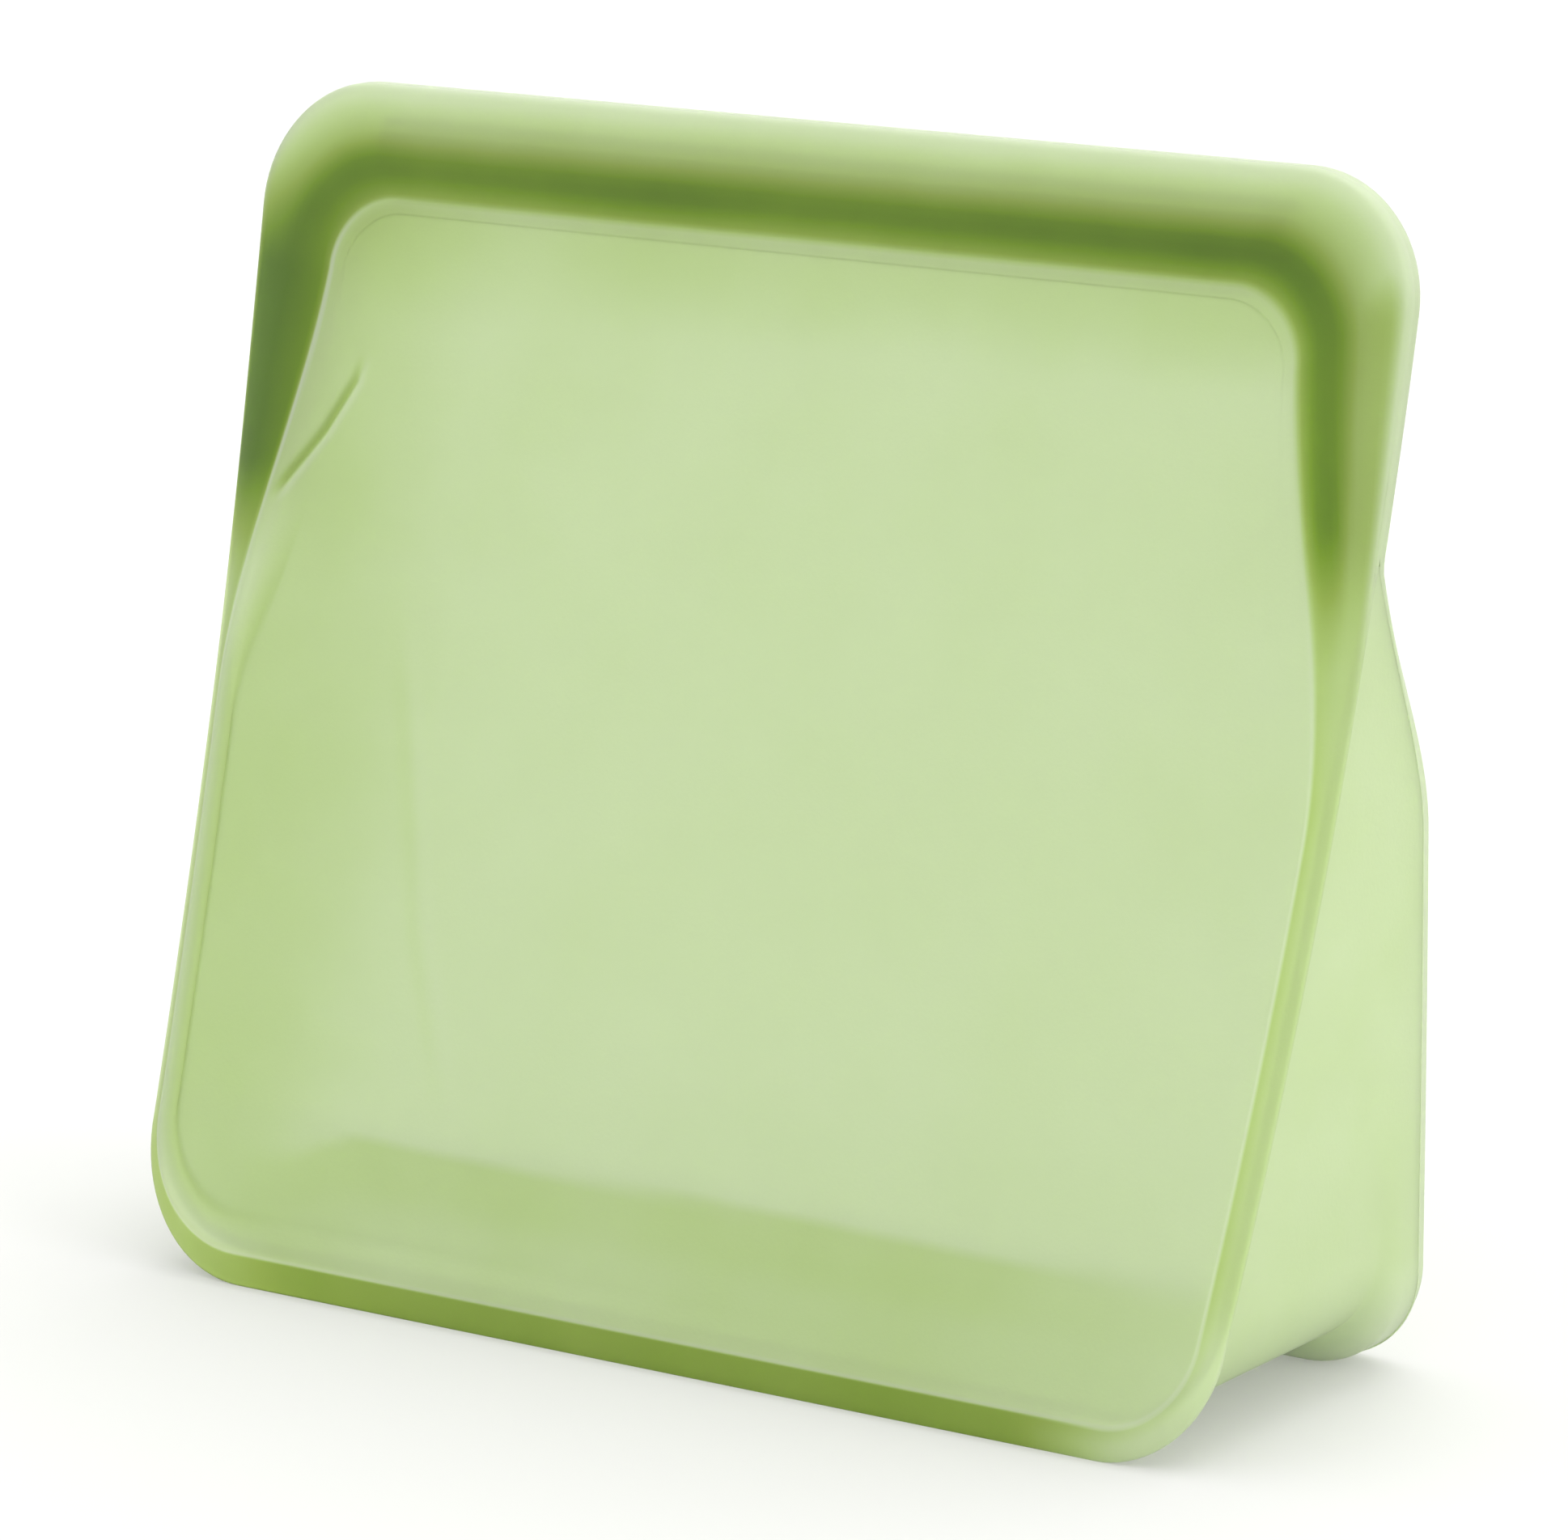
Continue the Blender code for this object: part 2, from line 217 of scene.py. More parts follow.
def filling_faces(loop_start, inner_start):
    """Faces of a filling grid, from where its outline and its inner points start."""
    def index(j, i):
        if j in (0, UP) or i in (0, ACROSS):
            return loop_start + border(j, i)
        return inner_start + (j - 1) * (ACROSS - 1) + i - 1
    return [(index(j, i), index(j, i + 1), index(j + 1, i + 1), index(j + 1, i))
            for j in range(UP) for i in range(ACROSS)]


def ring_faces(rings, count):
    """Faces between each closed ring of points and the next."""
    faces = []
    for k in range(rings - 1):
        a, b = k * count, (k + 1) * count
        for i in range(count):
            j = (i + 1) % count
            faces.append((a + i, a + j, b + j, b + i))
    return faces


def make_piece(name, points, faces, material, tone):
    """Links a closed mesh with its material, and with the tone at each point: its depth of green, with
    painted light and shade laid in.
    """
    mesh = bpy.data.meshes.new(name)
    mesh.from_pydata([tuple(p) for p in points], [], faces)
    work = bmesh.new()
    work.from_mesh(mesh)
    bmesh.ops.recalc_face_normals(work, faces=work.faces)
    work.to_mesh(mesh)
    work.free()
    mesh.shade_smooth()
    mesh.set_sharp_from_angle(angle=math.radians(SHARP_ANGLE))
    mesh.materials.append(material)
    greens = mesh.attributes.new("tone", "FLOAT", "POINT")
    greens.data.foreach_set("value", np.asarray(tone, np.float32))
    piece = bpy.data.objects.new(name, mesh)
    bpy.context.scene.collection.objects.link(piece)
    return piece


# ---------------------------------------------------------------- the two shells

# Profiles from the window's edge out to the outline and round to the seam plane. Each point is
# (share of the way in from the outline to the window's edge, height from the seam plane in mm).
FRONT_RIM = [(2.30, 3.80), (1.85, 3.80), (1.40, 3.80), (1.12, 3.79), (1.00, 3.64),
             (0.88, 3.40), (0.62, 2.80), (0.32, 2.00), (0.12, 1.36), (0.02, 0.98),
             (0.00, 0.75), (0.00, 0.45), (0.04, 0.24), (0.16, 0.15)]
BACK_RIM = [(2.30, 3.80), (1.85, 3.80), (1.40, 3.80), (1.00, 3.80), (0.72, 3.78),
            (0.50, 3.68), (0.30, 3.40), (0.22, 2.90), (0.16, 2.20), (0.10, 1.50),
            (0.04, 0.90), (0.00, 0.50), (0.00, 0.25), (0.02, 0.15)]
HEADER = [(1.22, 3.50), (1.145, 3.51), (1.12, 3.70), (1.01, 3.76), (0.975, 3.92),
          (0.92, 4.22), (0.78, 4.52), (0.55, 4.40), (0.32, 3.80), (0.13, 3.00),
          (0.03, 2.35), (0.00, 1.30), (0.000, 0.30), (0.003, 0.02)]
HEADER_EDGE = 1.4           # profile points of the header below this height in mm are on its edge

# Inside of the shell: (distance in from the window's edge in mm, height from the seam plane)
INNER_STEP = [(0.4, 0.15), (0.9, 0.30), (1.5, 1.00), (2.1, 1.90), (2.8, 2.30)]

# Fold down the left of the front: by share, its height in mm above the rim's profile
LEFT_FOLD = ([0.8, 1.0, 1.2, 1.45, 1.75, 2.0, 2.2, 2.3],
             [0.0, 0.15, 0.70, 0.85, 0.18, -0.40, -0.16, 0.0])

# Depth of green by share, from the outline (0) in to the window's edge (1) and past it, with some
# painted light and shade laid in
# Header: the pale outer shares are painted light on the lip's top, lit from above; the dark band is the
# thicker silicone
HEADER_TONES = ([0.00, 0.06, 0.17, 0.28, 0.39, 0.50, 0.56, 0.61, 0.68, 0.80, 0.89, 0.95, 1.00,
                 1.04, 1.10],
                [0.16, 0.25, 0.40, 0.49, 0.59, 0.76, 0.86, 0.93, 0.96, 0.95, 0.87, 0.79, 0.60,
                 0.34, 0.30])
# Left end: the deepest outer shares are partly thicker silicone, partly painted shade; the pale dip at
# 1.0 is a painted highlight line along the window's edge
LEFT_TONES = ([0.00, 0.05, 0.10, 0.50, 0.92, 0.975, 1.00, 1.025, 1.06, 1.10],
              [0.30, 0.80, 1.00, 1.00, 0.93, 0.84, 0.16, 0.10, 0.34, 0.30])
# Rims: the pale dip at 1.04 is a painted highlight line along the ridge
RIM_TONES = ([0.00, 0.10, 0.50, 0.88, 0.96, 1.04, 1.15, 1.30],
             [0.44, 0.50, 0.50, 0.60, 0.40, 0.10, 0.20, 0.00])
BACK_RIM_TONES = ([0.00, 0.06, 0.30, 0.60, 0.96, 1.04, 1.15, 1.30],
                  [0.24, 0.22, 0.34, 0.44, 0.30, 0.10, 0.20, 0.00])
# Fold: a painted highlight along its ridge and painted shade just inside it
FOLD_PAINTED_HIGHLIGHT_AND_SHADE = ([0.98, 1.1, 1.3, 1.7, 2.0, 2.25], [0.0, -0.14, -0.16, 0.0, 0.10, 0.0])
SEAL_TONE = 0.90


def shell(panel, seam, outward, rim, seal_recess, material):
    """Closed shell of one panel with its rim and its half of the header."""
    outer = outline(seam_half_width, 0.0, HEIGHT, OUTER_RADII[panel], TOP_CORNER_RADIUS)
    edge = outline(ridge_half_width, SOLE_DROP + WINDOW_RISE, HEADER_BOTTOM, WINDOW_RADII[panel],
                   WINDOW_RADIUS)
    between = (outer[:, 1] + edge[:, 1]) / 2
    inward = (edge - outer) / np.linalg.norm(edge - outer, axis=1)[:, None]
    # Where the rim's profile turns into the header's, where the seal lies, and where the header's
    # ends are fused: each is 0 outside and 1 inside
    band = smooth(BAND_START, HEADER_BOTTOM, between)[:, None]
    on_top = (band[:, 0] * smooth(HEADER_BOTTOM, HEADER_BOTTOM + 0.004, between)
              * (1 - smooth(0.080, 0.092, np.abs(edge[:, 0]))))
    fused = (smooth(SEAM_HEIGHT - 0.012, SEAM_HEIGHT, between)
             * smooth(0.086, 0.094, np.abs(outer[:, 0])))[:, None]

    # Rings of points: round the outside, across the inside of the rim, and up to the window
    loops = []
    for low, high in zip(through(rim), through(HEADER)):
        turn = np.maximum(band, fused * (high[1] < HEADER_EDGE))
        share, height = (mix(a, b, turn) for a, b in zip(low, high))
        height = height - FUSED_LAP * fused * smooth(0.30, 0.02, high[1])
        place = mix(outer, edge, share)
        if panel == "front":
            height = height + left_fold(place, share, band)
        loops.append(np.hstack([place, height / 1000, share]))
    for share in INSIDE_SHARES:
        recess = seal_recess * smooth(0.12, 0.22, share) * (1 - smooth(0.90, 1.0, share)) * on_top
        height = SEAM_GAP / 1000 + recess[:, None]
        share_here = np.maximum(share, mix(0.22, 0.06, band))
        loops.append(np.hstack([mix(outer, edge, share_here), height, share_here]))
    for distance, height in INNER_STEP:
        ring = edge + inward * distance / 1000
        deepest = window_face(ring[:, 1]) - wall(ring[:, 1])
        loops.append(np.hstack([ring, np.minimum(height / 1000, deepest)[:, None],
                                np.full_like(band, 1.0 + distance / 10)]))

    # The window: one grid for its outer face and one for its inner face
    face_fill, back_fill = filling(loops[0][:, :2]), filling(loops[-1][:, :2])
    rows = np.vstack(loops + [
        np.hstack([fill, np.zeros((len(fill), 1)), np.full((len(fill), 1), 3.0)])
        for fill in (face_fill, back_fill)])
    x, z, height, share = rows.T.copy()
    count = len(loops[0])
    face_start = count * len(loops)
    back_start = face_start + len(face_fill)
    height[face_start:back_start] = window_face(z[face_start:back_start])
    height[back_start:] = window_face(z[back_start:]) - wall(z[back_start:])
    points = np.stack([x, seam(x, z) + outward * height, z], axis=1)
    faces = ring_faces(len(loops), count)
    faces += [f[::-1] for f in filling_faces(0, face_start)]
    faces += filling_faces((len(loops) - 1) * count, back_start)
    if outward < 0:
        faces = [f[::-1] for f in faces]
    return make_piece(f"{panel}_shell", points, faces, material,
                      shell_tones_with_painted_light(panel, x, z, share))


def left_fold(place, share, band):
    """Extra height in mm of the fold that runs down the left and round to the bottom of the front."""
    x, z = place[:, :1], place[:, 1:]
    where = np.maximum(smooth(-0.070, -0.092, x), 0.4 * smooth(0.020, 0.010, z))
    where = (1 - smooth(0.0, 0.5, band)) * where * smooth(0.060, -0.060, x)
    return where * np.interp(share, *LEFT_FOLD)


def shell_tones_with_painted_light(panel, x, z, share):
    """How deep the green is at each point of a shell, from 0 for the palest to 1, with painted light
    and shade laid in.
    """
    # The header, with its left and right ends: the left end's deepest green is partly painted shade,
    # with a painted highlight line at the window's edge
    beside = smooth(0.176, 0.160, z)
    header = np.interp(share + 0.08 * beside * (1 - smooth(0.3, 0.9, share)), *HEADER_TONES)
    left = smooth(0.070, 0.096, -x) * smooth(0.182, 0.156, z)
    header = mix(header, np.interp(share, *LEFT_TONES), left)
    right = smooth(0.070, 0.092, x) * smooth(0.184, 0.166, z)
    header = np.maximum(header, 0.66 * right * smooth(-0.12, 0.16, share) * smooth(0.9, 0.7, share))

    # The rim: painted shade deepens the green along the downward-facing sole of the front, and painted
    # light makes its lower right corner paler
    low = np.interp(share, *(RIM_TONES if panel == "front" else BACK_RIM_TONES))
    if panel == "front":
        sole = smooth(0.013, 0.006, z) * smooth(0.086, 0.066, x) * smooth(1.02, 0.92, share)
        low = mix(low, 0.80 - 0.12 * smooth(-0.060, -0.090, x), sole)
        low = low - 0.18 * smooth(0.030, 0.012, z) * smooth(0.076, 0.092, x) * smooth(1.02, 0.92, share)
        side = smooth(0.042, 0.018, z) * smooth(-0.078, -0.092, x) * smooth(1.0, 0.9, share)
        low = np.maximum(low, 0.68 * side)

    # The window: deeper at the left and near the header
    inside = smooth(0.95, 1.15, share)
    window = (0.28 + 0.15 * smooth(-0.050, -0.088, x) + 0.14 * smooth(0.148, 0.168, z)
              + 0.12 * base_band(x, z))
    low = mix(low, np.maximum(window, low * smooth(2.2, 1.9, share)), inside)

    # From the rim to the header, and the fold down the left of the front: a painted highlight along it,
    # with painted shade beside
    fade = smooth(0.113, 0.139, z + 0.010 * smooth(0.0, -0.05, x))
    if panel == "back":
        fade = fade * mix(smooth(0.138, 0.178, z), 1.0, smooth(0.05, 0.40, share))
    header = mix(header, np.maximum(window, header), smooth(1.0, 1.06, share))
    made = mix(low, header, fade)
    if panel == "front":
        fold = smooth(-0.068, -0.092, x) * (1 - fade)
        made = made + fold * np.interp(share, *FOLD_PAINTED_HIGHLIGHT_AND_SHADE)
    return made


def base_band(x, z):
    """Share of the green of the lower band: partly the thicker wall, partly the base and its shadow
    painted as seen through it. Both ends are soft and its left end drops.
    """
    top = BASE_BAND - 0.005 * smooth(-0.052, -0.074, x) ** 2
    blur = 0.0006 + 0.0030 * smooth(0.060, 0.095, x) + 0.0020 * smooth(-0.055, -0.075, x)
    ends = smooth(-0.088, -0.054, x) * (1 - 0.5 * smooth(0.050, 0.100, x))
    return ends * smooth(top + blur, top - blur, z) * (1 + 0.35 * smooth(top - 0.012, top - 0.006, z))


def window_face(z):
    """Height of a window's outer face above its seam plane."""
    return mix(*WINDOW_FACE, smooth(BAND_START, HEADER_BOTTOM, z))


def wall(z):
    return mix(BASE_WALL, WINDOW_WALL, smooth(BASE_BAND - BASE_STEP, BASE_BAND + BASE_STEP, z))


# Creases of the front panel: (x, z) points in mm from the top down, half width and depth in mm,
# deeper tone of painted shade in the groove (with a painted highlight on its lower lip), cuts per edge
# of the mesh
CREASES = [
    ([(-81.0, 146.5), (-82.3, 141.4), (-87.0, 133.3), (-92.7, 126.0), (-96.3, 121.0)],
     1.3, 0.60, 0.22, 4),
    ([(-70.0, 112.0), (-62.0, 84.0), (-55.0, 58.0), (-42.0, 26.0)], 2.6, 0.10, 0.05, 1),
]


def near_line(line, x, z):
    """Distance of points from a line, how far along it (0 to 1), and on which side of it they are."""
    best, along, side = np.full(len(x), 1.0), np.zeros(len(x)), np.zeros(len(x))
    for k, (a, b) in enumerate(zip(line, line[1:])):
        t = np.clip(((x - a[0]) * (b - a)[0] + (z - a[1]) * (b - a)[1]) / np.dot(b - a, b - a), 0, 1)
        gap = np.hypot(x - mix(a[0], b[0], t), z - mix(a[1], b[1], t))
        along = np.where(gap < best, (k + t) / (len(line) - 1), along)
        turned = (b - a)[0] * (z - a[1]) - (b - a)[1] * (x - a[0])
        side = np.where(gap < best, np.sign(turned), side)
        best = np.minimum(best, gap)
    return best, along, side


def crease(piece, line, half_width, depth, painted_shade_and_highlight, cuts):
    """Presses a tapered crease into the outer face of the front panel, on a finer patch of mesh."""
    line = np.array(line) / 1000
    reach = half_width / 1000
    work = bmesh.new()
    work.from_mesh(piece.data)
    centres = np.array([f.calc_center_median() for f in work.faces])
    close = near_line(line, centres[:, 0], centres[:, 2])[0] < 2 * reach + 0.002
    outside = centres[:, 1] < seam_y(centres[:, 2]) - OUTER_FACE
    chosen = {e for f, inside in zip(work.faces, close & outside) if inside for e in f.edges}
    bmesh.ops.subdivide_edges(work, edges=list(chosen), cuts=cuts, use_grid_fill=True)
    work.to_mesh(piece.data)
    work.free()

    points = np.array([v.co for v in piece.data.vertices])
    gap, along, side = near_line(line, points[:, 0], points[:, 2])
    taper = smooth(0.0, 0.35, along) * smooth(1.0, 0.80, along)
    taper = taper * (points[:, 1] < seam_y(points[:, 2]) - OUTER_FACE)
    # A groove with a raised lip on each side: the lower one is higher, and paler from a painted
    # highlight
    lip = np.exp(-((gap - 1.2 * reach) / (0.5 * reach)) ** 2)
    pressed = taper * (np.exp(-(gap / (0.5 * reach)) ** 2) - np.where(side > 0, 0.60, 0.15) * lip)
    points[:, 1] += depth / 1000 * pressed
    piece.data.vertices.foreach_set("co", points.ravel())

    tone = piece.data.attributes["tone"].data
    deep = np.zeros(len(points))
    tone.foreach_get("value", deep)
    # Painted shade in the groove, and a painted highlight on the lower lip
    change = painted_shade_and_highlight * taper * (np.exp(-(gap / (0.6 * reach)) ** 2) - 0.7 * lip * (side > 0))
    tone.foreach_set("value", (deep + change).astype(np.float32))
    piece.data.update()


# ---------------------------------------------------------------- web, seal

def web_line(low, inset, thick, radii):
    """Open line (x, z) of the web: from the pinch down the left, along the floor and up the right."""
    def width(z):
        return (seam_half_width(z) - thick - WEB_SKIN
                - inset * smooth(SEAM_HEIGHT, INSET_END, z))
    whole = outline(width, low, WEB_TOP, radii, WEB_CORNER)
    keep = ACROSS // 2 + UP - CORNER        # up to where the top corners begin
    right, left = whole[:keep], whole[:-keep:-1]
    return np.vstack([left[::-1], right])


def web(material):
    """Side gussets and raised base as one sheet between the rims, folded down into the back foot."""
    depths = np.concatenate([np.linspace(0, 0.76, 18)[:-1], np.linspace(0.76, 0.94, 25)[:-1],
                             np.linspace(0.94, 1.0, 4)])
    points, faces, tone = [], [], []
    for thick in (0.0, WEB_WALL):
        raised = web_line(WEB_HEIGHT + thick, GUSSET_INSET, thick,
                          [r - GUSSET_INSET - thick for r in OUTER_RADII["front"]])
        foot = web_line(WEB_FLOOR + thick, 0.0, thick, [r - thick for r in OUTER_RADII["back"]])
        for u in depths:
            fold = mix(smooth(*WEB_FOLD, u), u, smooth(0.016, 0.040, foot[:, 1:]))
            x, z = mix(raised, foot, fold).T
            y = mix(seam_y(z) - WEB_BITE, back_seam_y(x, z) + WEB_BITE, u)
            points += list(np.stack([x, y, z], axis=1))
            # Paler under the back foot: painted light where the foot sits in shade by the floor
            tone += list(0.33 - 0.18 * smooth(0.80, 0.90, u) * smooth(0.022, 0.006, z))
    columns, rows = len(raised), len(depths)
    deep = rows * columns               # from a point of the outer skin to its twin on the inner one
    for skin in (0, 1):
        for r in range(rows - 1):
            for c in range(columns - 1):
                a = skin * deep + r * columns + c
                quad = (a, a + 1, a + columns + 1, a + columns)
                faces.append(quad if skin == 0 else quad[::-1])
    for r, flip in ((0, False), (rows - 1, True)):
        for c in range(columns - 1):
            a = r * columns + c
            quad = (a + 1, a, a + deep, a + deep + 1)
            faces.append(quad[::-1] if flip else quad)
    for c, flip in ((0, False), (columns - 1, True)):
        for r in range(rows - 1):
            a = r * columns + c
            quad = (a, a + columns, a + columns + deep, a + deep)
            faces.append(quad[::-1] if flip else quad)
    return make_piece("gussets_and_base_web", points, faces, material, tone)


def seal_strip(name, profile, segment, outward, material):
    """Rail or ridge along the inside of a lip: profile is (toward the lip, up) points in mm.

    The segment is 0 for the middle, 1 for the right and -1 for the left.
    """
    tilt = math.atan(FRONT_LEAN - 2 * FRONT_CURVE * SEAL_HEIGHT)
    ends = {0: (-FLAP_EDGE, FLAP_EDGE), 1: (FLAP_EDGE, SEAL_END), -1: (-SEAL_END, -FLAP_EDGE)}[segment]
    loop = through(profile + profile[:1])[:-1] / 1000
    columns, n = SEAL_COLUMNS[segment], len(loop)
    points = []
    for x in np.linspace(*ends, columns + 1):
        for deep, up in loop:
            y = seam_y(SEAL_HEIGHT) + outward * deep * math.cos(tilt) + up * math.sin(tilt)
            z = SEAL_HEIGHT - outward * deep * math.sin(tilt) + up * math.cos(tilt)
            points.append((x, y, z))
    faces = ring_faces(columns + 1, n)
    faces += [tuple(range(n))[::-1], tuple(columns * n + i for i in range(n))]
    return make_piece(name, points, faces, material, [SEAL_TONE] * len(points))


# ---------------------------------------------------------------- weights for the mouth's bend

BEND_REACH = 0.022          # half of the height over which a panel bends
BEND_MIDDLE = 0.14          # share of the half width that bends fully


def mouth_weight(points):
    """Share of the mouth's bend: all in the middle, none at the header's ends and low down."""
    x, z = points[:, 0], points[:, 2]
    across = np.abs(x) / (ridge_half_width(z) + 0.001)
    rise = smooth(HINGE_HEIGHT - BEND_REACH, HINGE_HEIGHT + BEND_REACH, z)
    return rise * (1 - smooth(BEND_MIDDLE, 1.0, across))


def bend(piece, side, where, gain=1.0):
    """Bakes a piece's transform and works out the mouth's weights at its points, for one mouth body;
    the piece is not blended or moved.

    The left and right bodies turn by half the middle's angle, so their gain is 2.
    """
    joint = next(j for j in frame["joints"] if j["name"] == f"{side}_{where}_bend")
    low = Vector(joint["pos_m"])
    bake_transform(piece)
    points = np.array([v.co for v in piece.data.vertices])
    weight = np.minimum(mouth_weight(points) * gain, 1.0)


# ---------------------------------------------------------------- materials

# Base colours from the palest tone to the deepest green: thin to thick silicone, and also painted light
# to painted shade
GREENS = [
    (0.00, (0.87, 0.91, 0.85)),
    (0.15, (0.80, 0.89, 0.65)),
    (0.30, (0.75, 0.86, 0.56)),
    (0.45, (0.64, 0.78, 0.38)),
    (0.60, (0.52, 0.67, 0.22)),
    (0.75, (0.39, 0.53, 0.095)),
    (0.90, (0.235, 0.395, 0.014)),
    (1.00, (0.125, 0.245, 0.003)),
]
CLEAR = 0.60                # share of light that is let through
ABSORB_COLOUR = (0.50, 0.64, 0.10)
ABSORB_DENSITY = 60.0


def add_noise(nodes, links, scale, detail, vector):
    noise = nodes.new("ShaderNodeTexNoise")
    noise.inputs["Scale"].default_value = scale
    noise.inputs["Detail"].default_value = detail
    links.new(vector, noise.inputs["Vector"])
    return noise.outputs["Fac"]


def add_bump(nodes, links, height, strength, distance, under=None):
    bump = nodes.new("ShaderNodeBump")
    bump.inputs["Strength"].default_value = strength
    bump.inputs["Distance"].default_value = distance
    links.new(height, bump.inputs["Height"])
    if under is not None:
        links.new(under, bump.inputs["Normal"])
    return bump.outputs["Normal"]


def silicone(name):
    """Translucent silicone: its green follows the tone of each point, painted light and shade included,
    and its finish is satin.
    """
    material = bpy.data.materials.new(name)
    material.use_nodes = True
    nodes, links = material.node_tree.nodes, material.node_tree.links
    shader = nodes["Principled BSDF"]
    place = nodes.new("ShaderNodeTexCoord").outputs["Object"]
    grain = add_noise(nodes, links, 1400.0, 3.0, place)
    cloud = add_noise(nodes, links, 30.0, 3.0, place)
    fine = add_bump(nodes, links, grain, 0.12, 0.0002)
    links.new(add_bump(nodes, links, cloud, 0.20, 0.003, fine), shader.inputs["Normal"])

    tone = nodes.new("ShaderNodeAttribute")
    tone.attribute_name = "tone"
    drift = nodes.new("ShaderNodeMapRange")
    drift.inputs["From Min"].default_value, drift.inputs["From Max"].default_value = 0.3, 0.7
    drift.inputs["To Min"].default_value, drift.inputs["To Max"].default_value = -0.03, 0.03
    links.new(cloud, drift.inputs["Value"])
    total = nodes.new("ShaderNodeMath")
    links.new(tone.outputs["Fac"], total.inputs[0])
    links.new(drift.outputs["Result"], total.inputs[1])
    greens = nodes.new("ShaderNodeValToRGB")
    stops = greens.color_ramp.elements
    for _ in range(len(GREENS) - 2):
        stops.new(0.5)
    for stop, (position, colour) in zip(stops, GREENS):
        stop.position, stop.color = position, (*colour, 1.0)
    links.new(total.outputs["Value"], greens.inputs["Fac"])
    links.new(greens.outputs["Color"], shader.inputs["Base Color"])

    rough = nodes.new("ShaderNodeMapRange")
    rough.inputs["To Min"].default_value, rough.inputs["To Max"].default_value = 0.38, 0.50
    links.new(cloud, rough.inputs["Value"])
    links.new(rough.outputs["Result"], shader.inputs["Roughness"])
    shader.inputs["IOR"].default_value = 1.41
    shader.inputs["Specular IOR Level"].default_value = 0.3
    shader.inputs["Transmission Weight"].default_value = CLEAR
    absorb = nodes.new("ShaderNodeVolumeAbsorption")
    absorb.inputs["Color"].default_value = (*ABSORB_COLOUR, 1.0)
    absorb.inputs["Density"].default_value = ABSORB_DENSITY
    links.new(absorb.outputs["Volume"], nodes["Material Output"].inputs["Volume"])
    return material


# ---------------------------------------------------------------- room, light and camera

def make_stage():
    """Plain paper floor, slightly self-lit."""
    mesh = bpy.data.meshes.new("floor")
    mesh.from_pydata([(-4, -4, 0), (4, -4, 0), (4, 4, 0), (-4, 4, 0)], [], [(0, 1, 2, 3)])
    material = bpy.data.materials.new("floor_paper")
    material.use_nodes = True
    shader = material.node_tree.nodes["Principled BSDF"]
    shader.inputs["Base Color"].default_value = (0.48, 0.48, 0.47, 1)
    shader.inputs["Emission Color"].default_value = (1.0, 1.0, 0.98, 1)
    shader.inputs["Emission Strength"].default_value = 0.23
    shader.inputs["Roughness"].default_value = 0.9
    shader.inputs["Specular IOR Level"].default_value = 0.1
    mesh.materials.append(material)
    floor = bpy.data.objects.new("floor", mesh)
    bpy.context.scene.collection.objects.link(floor)


def add_sun(name, azimuth, elevation, spread, strength):
    """Distant soft light from an azimuth (0 in front, 90 to the right) and elevation, in degrees."""
    turn, rise = math.radians(azimuth), math.radians(elevation)
    toward = Vector((math.sin(turn) * math.cos(rise), -math.cos(turn) * math.cos(rise), math.sin(rise)))
    data = bpy.data.lights.new(name, "SUN")
    data.energy, data.angle = strength, math.radians(spread)
    lamp = bpy.data.objects.new(name, data)
    lamp.rotation_mode = "QUATERNION"
    lamp.rotation_quaternion = (-toward).to_track_quat("-Z", "Y")
    lamp.location = toward
    bpy.context.scene.collection.objects.link(lamp)


def make_world():
    world = bpy.data.worlds.new("white_room")
    world.use_nodes = True
    world.node_tree.nodes["Background"].inputs["Color"].default_value = (1, 1, 1, 1)
    world.node_tree.nodes["Background"].inputs["Strength"].default_value = 1.40
    bpy.context.scene.world = world


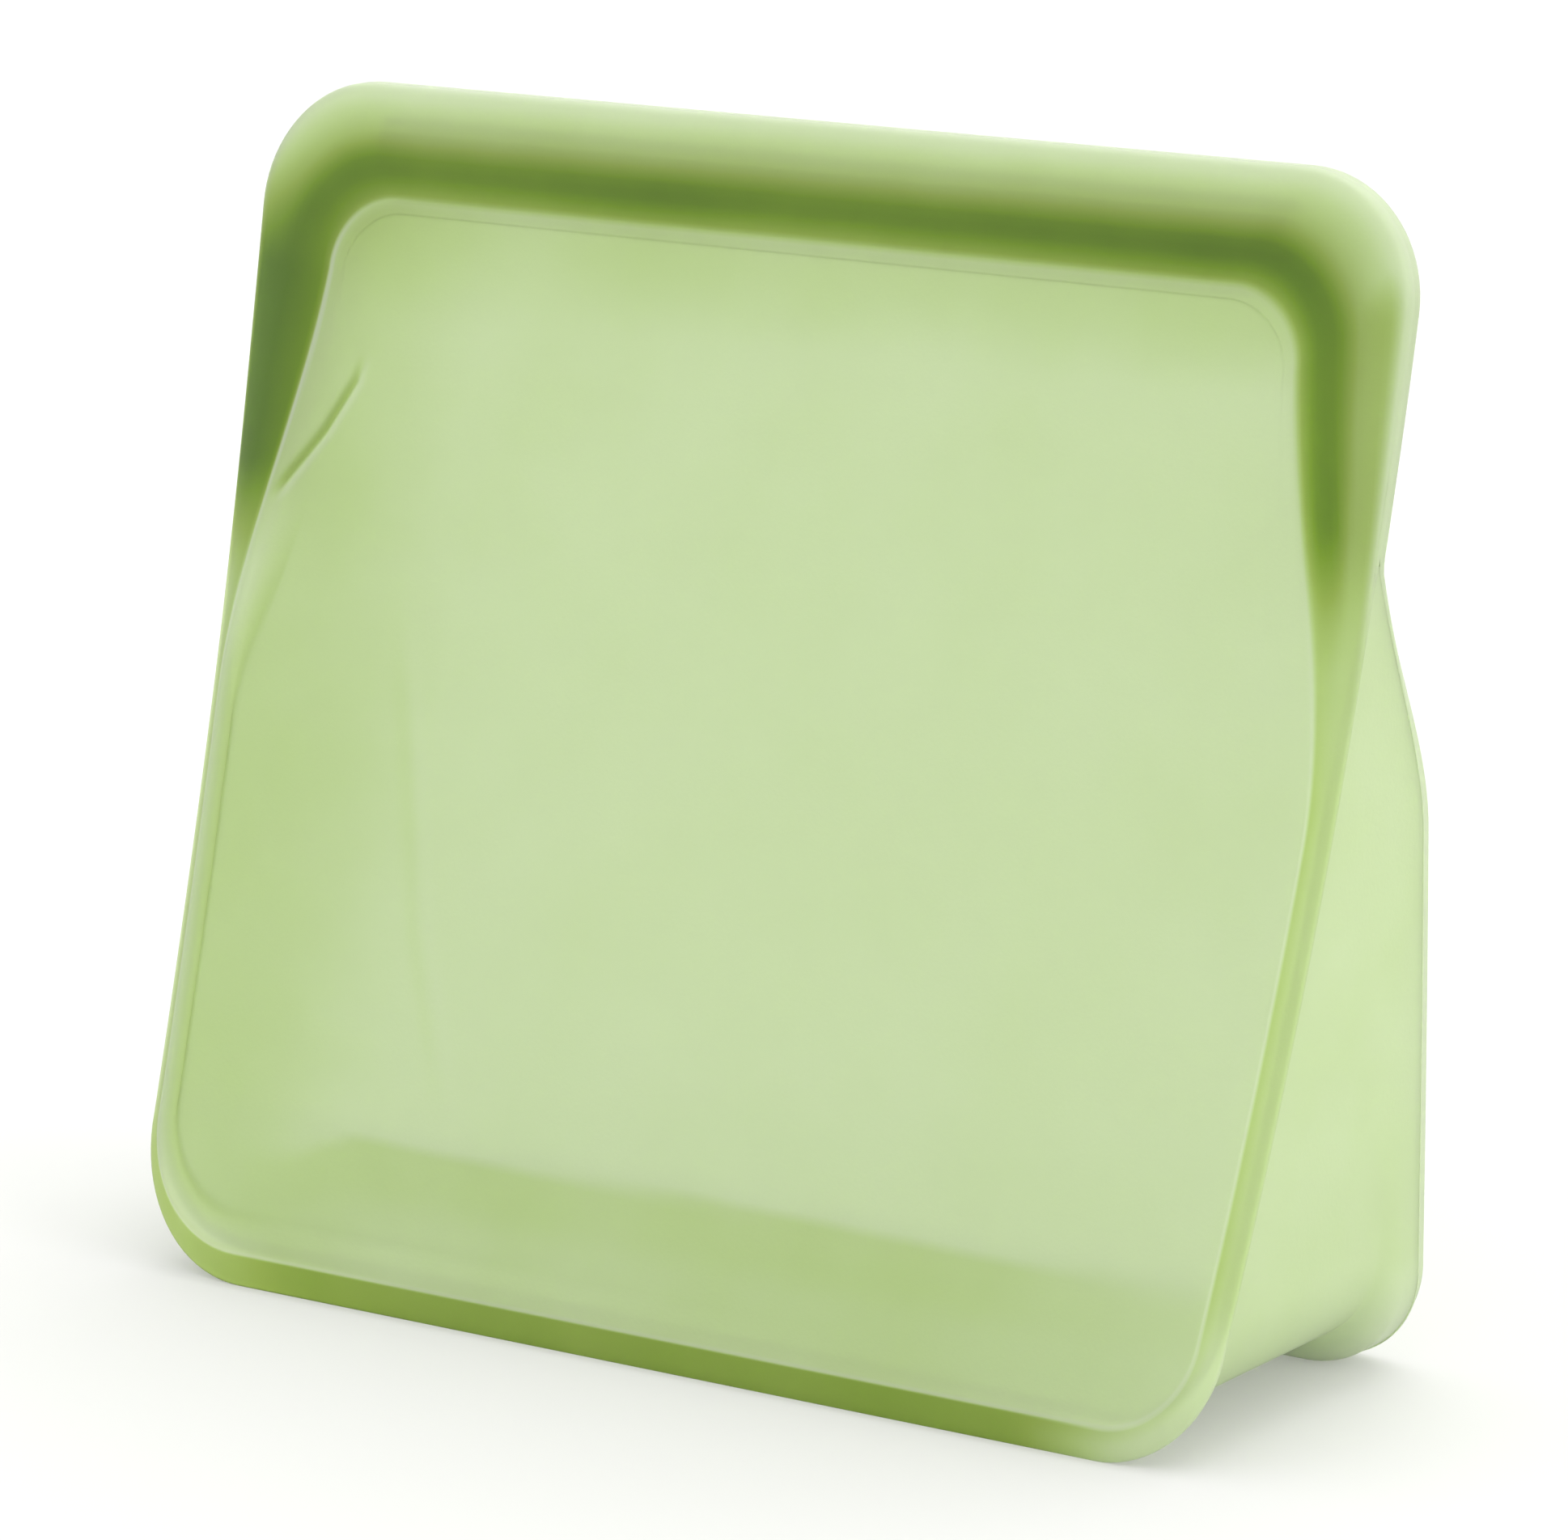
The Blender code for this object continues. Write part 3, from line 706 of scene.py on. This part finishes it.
def make_camera():
    """Long lens, to the right of the front and a little above."""
    azimuth, elevation, roll = (math.radians(a) for a in (33.5, 12.3, 0.42))
    target, distance = Vector((0.0035, -0.00012, 0.0887)), 1.12
    view = Vector((-math.sin(azimuth) * math.cos(elevation), math.cos(azimuth) * math.cos(elevation),
                   -math.sin(elevation)))
    right = Vector((math.cos(azimuth), math.sin(azimuth), 0.0))
    up = right.cross(view)
    rolled_right = right * math.cos(roll) + up * math.sin(roll)
    rolled_up = up * math.cos(roll) - right * math.sin(roll)
    data = bpy.data.cameras.new("camera")
    data.lens, data.sensor_width = 165.3, 36.0
    data.clip_start, data.clip_end = 0.05, 20.0
    camera = bpy.data.objects.new("camera", data)
    turn = Matrix((rolled_right, rolled_up, -view)).transposed().to_4x4()
    camera.matrix_world = Matrix.Translation(target - view * distance) @ turn
    bpy.context.scene.collection.objects.link(camera)
    bpy.context.scene.camera = camera


# ---------------------------------------------------------------- assembly

make_camera()
make_world()
make_stage()
add_sun("overhead_softbox", 180, 64, 44, 1.0)
add_sun("side_softbox", 90, 14, 50, 1.3)

BODY = silicone("silicone_body")

WHERE = ("middle", "left", "right")
RIDGE_RECESS, RAIL_RECESS = 0.0010, 0.0023      # room for the seal inside each lip

front = shell("front", lambda x, z: seam_y(z), -1, FRONT_RIM, RIDGE_RECESS, BODY)
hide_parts("front_rim", "front_wall_lower", "left_header_end", "right_header_end",
            *[f"front_{part}_{w}" for part in ("flap", "lip") for w in WHERE])
for settings in CREASES:
    crease(front, *settings)
bend(front, "front", "middle")

back = shell("back", back_seam_y, 1, BACK_RIM, RAIL_RECESS, BODY)
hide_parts("back_rim", "back_wall_lower",
            *[f"back_{part}_{w}" for part in ("flap", "lip") for w in WHERE])
bend(back, "back", "middle")

sides = web(BODY)
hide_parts("left_gusset", "right_gusset", "base_web")
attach(sides, "bag")

# Sections of the ridge and of the upper rail, as seal_strip takes them
RIDGE = [(1.2, -2.2), (-1.1, -1.2), (-1.3, 0.0), (-1.1, 1.2), (1.2, 2.2)]
RAIL = [(2.5, 2.7), (-0.3, 2.8), (-0.4, 3.7), (-0.3, 4.6), (2.5, 4.7)]
for where, segment in zip(WHERE, (0, -1, 1)):
    gain = 1.0 if segment == 0 else 2.0
    ridge = seal_strip(f"seal_ridge_{where}_piece", RIDGE, segment, -1, BODY)
    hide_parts(f"seal_ridge_{where}")
    bend(ridge, "front", where, gain)
    for level, up in (("upper", 1), ("lower", -1)):
        rail = seal_strip(f"seal_rail_{level}_{where}_piece", [(a, up * b) for a, b in RAIL][::up],
                          segment, 1, BODY)
        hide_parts(f"seal_rail_{level}_{where}")
        bend(rail, "back", where, gain)

bpy.context.scene.view_settings.view_transform = "Standard"
